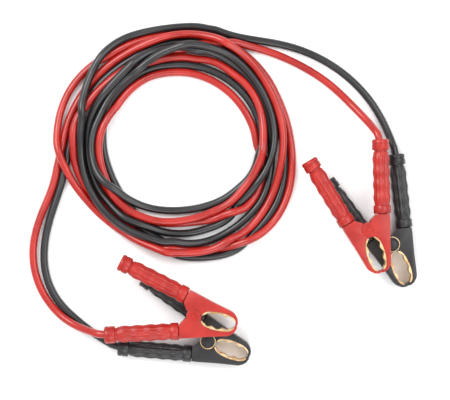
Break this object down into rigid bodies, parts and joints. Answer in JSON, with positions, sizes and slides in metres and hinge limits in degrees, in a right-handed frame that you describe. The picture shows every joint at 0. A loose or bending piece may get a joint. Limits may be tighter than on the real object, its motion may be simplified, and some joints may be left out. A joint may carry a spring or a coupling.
{
  "type": "car jumper cable set",
  "caption": "Red and black car jumper leads, loosely coiled together, with an insulated spring clamp at each end.",
  "frame": {"origin": "on the floor, under the middle of the four clamps", "axes": "+X to the right and +Y up in the pictured view from above, +Z up from the floor"},
  "size_m": [0.4649, 0.3999, 0.0443],
  "materials": {
    "red_plastic": "satin",
    "black_plastic": "satin",
    "red_jacket": "satin",
    "black_jacket": "satin",
    "copper_plate": "satin",
    "steel": "satin"
  },
  "bodies": {
    "leads": {"right_red_cable_jaw": "red_plastic", "right_red_cable_grip": "red_plastic", "right_red_cable_liner": "copper_plate", "right_red_pivot_pin": "steel", "right_red_torsion_spring": "steel", "right_black_cable_jaw": "black_plastic", "right_black_cable_grip": "black_plastic", "right_black_cable_liner": "copper_plate", "right_black_pivot_pin": "steel", "right_black_torsion_spring": "steel", "left_red_cable_jaw": "red_plastic", "left_red_cable_grip": "red_plastic", "left_red_cable_liner": "copper_plate", "left_red_pivot_pin": "steel", "left_red_torsion_spring": "steel", "left_black_cable_jaw": "black_plastic", "left_black_cable_grip": "black_plastic", "left_black_cable_liner": "copper_plate", "left_black_pivot_pin": "steel", "left_black_torsion_spring": "steel", "right_red_lead": "red_jacket", "right_black_lead": "black_jacket", "left_red_lead": "red_jacket", "left_black_lead": "black_jacket", "red_coil": "red_jacket", "black_coil": "black_jacket"},
    "right_red_half": {"right_red_free_jaw": "red_plastic", "right_red_free_grip": "red_plastic", "right_red_free_liner": "copper_plate"},
    "right_black_half": {"right_black_free_jaw": "black_plastic", "right_black_free_grip": "black_plastic", "right_black_free_liner": "copper_plate"},
    "left_red_half": {"left_red_free_jaw": "red_plastic", "left_red_free_grip": "red_plastic", "left_red_free_liner": "copper_plate"},
    "left_black_half": {"left_black_free_jaw": "black_plastic", "left_black_free_grip": "black_plastic", "left_black_free_liner": "copper_plate"}
  },
  "joints": [
    {"name": "right_red_opening", "type": "hinge", "parent": "leads", "child": "right_red_half", "pos_m": [0.12639, 0.02765, 0.0333], "axis": [0, 0, -1], "range_deg": [0, 28], "stiffness_Nm_per_rad": 2, "springref_deg": -28.65},
    {"name": "right_black_opening", "type": "hinge", "parent": "leads", "child": "right_black_half", "pos_m": [0.15579, 0.00966, 0.011], "axis": [0, 0, -1], "range_deg": [0, 28], "stiffness_Nm_per_rad": 2, "springref_deg": -28.65},
    {"name": "left_red_opening", "type": "hinge", "parent": "leads", "child": "left_red_half", "pos_m": [-0.08001, -0.07434, 0.0333], "axis": [0, 0, 1], "range_deg": [0, 28], "stiffness_Nm_per_rad": 2, "springref_deg": -28.65},
    {"name": "left_black_opening", "type": "hinge", "parent": "leads", "child": "left_black_half", "pos_m": [-0.06321, -0.10554, 0.011], "axis": [0, 0, 1], "range_deg": [0, 28], "stiffness_Nm_per_rad": 2, "springref_deg": -28.65}
  ]
}
